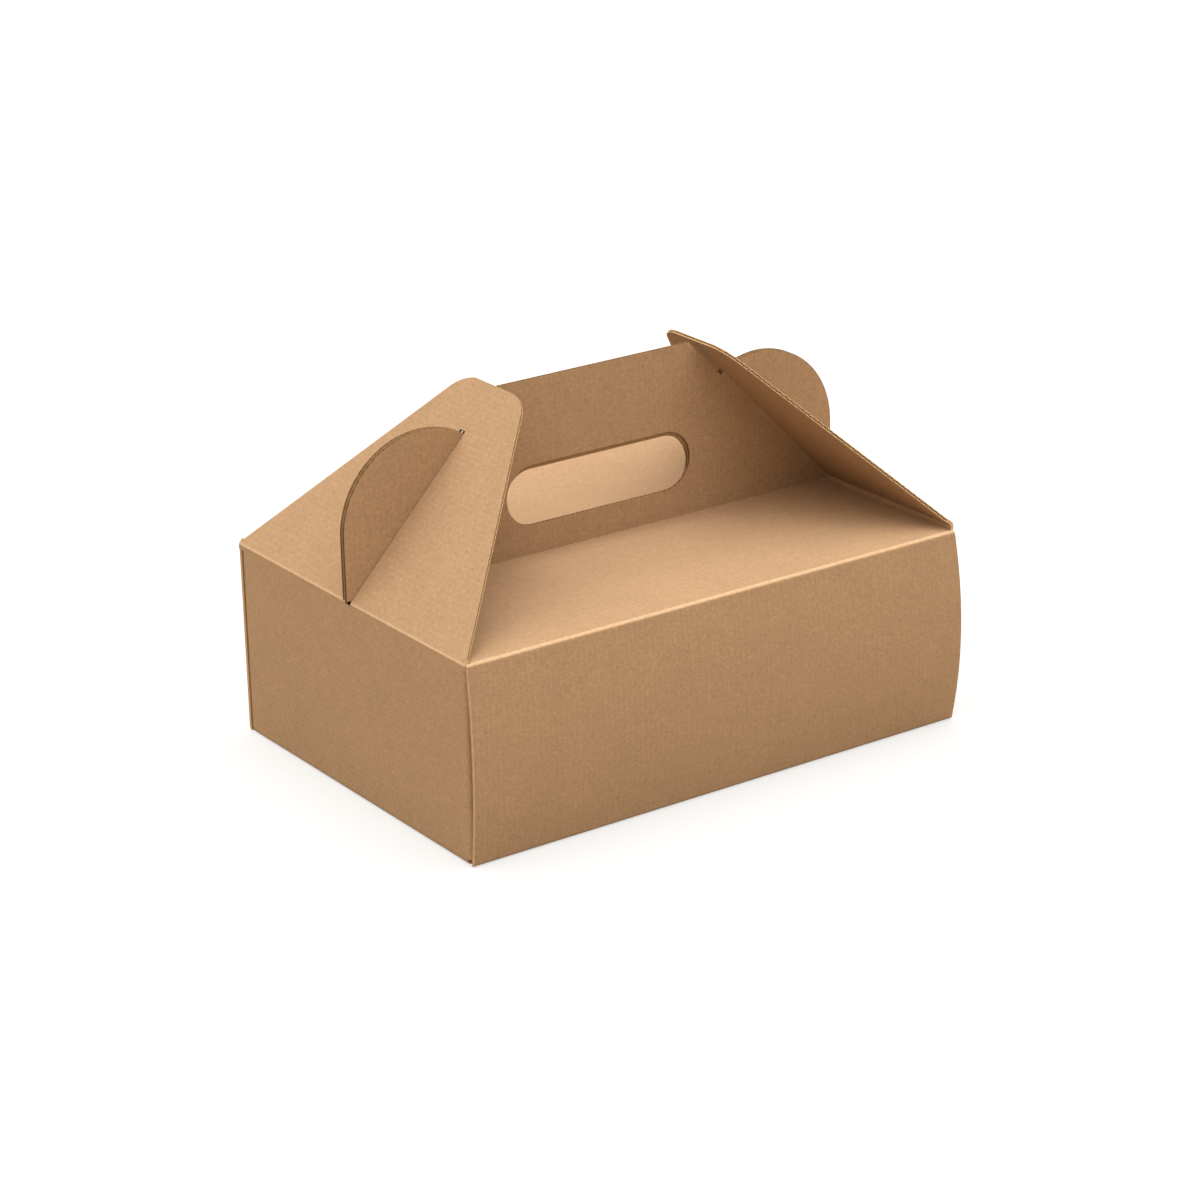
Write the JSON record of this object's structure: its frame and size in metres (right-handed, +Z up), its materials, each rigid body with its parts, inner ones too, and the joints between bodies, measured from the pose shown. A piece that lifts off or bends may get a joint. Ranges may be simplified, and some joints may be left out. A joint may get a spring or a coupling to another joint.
{
  "type": "corrugated carry tray box",
  "caption": "Folded corrugated board carry box with a two-part lid, a standing handle with a hand hole, and slit end flaps hooked over the handle's round ears.",
  "frame": {"origin": "middle of the footprint of the whole box, on the surface it stands on", "axes": "+X along the box from its left end to its right end, +Y from the front wall to the back wall, +Z up"},
  "size_m": [0.318, 0.2312, 0.2095],
  "materials": {
    "kraft_board": "matte"
  },
  "bodies": {
    "carton": {"folded_sheet": "kraft_board"},
    "left_flap": {"left_end_flap": "kraft_board"},
    "right_flap": {"right_end_flap": "kraft_board"}
  },
  "joints": [
    {"name": "left_flap_fold", "type": "hinge", "parent": "carton", "child": "left_flap", "pos_m": [-0.1566, 0.00315, 0.1091], "axis": [0, -1, 0], "range_deg": [0, 160]},
    {"name": "right_flap_fold", "type": "hinge", "parent": "carton", "child": "right_flap", "pos_m": [0.1566, 0.00315, 0.1131], "axis": [0, 1, 0], "range_deg": [0, 160]}
  ]
}
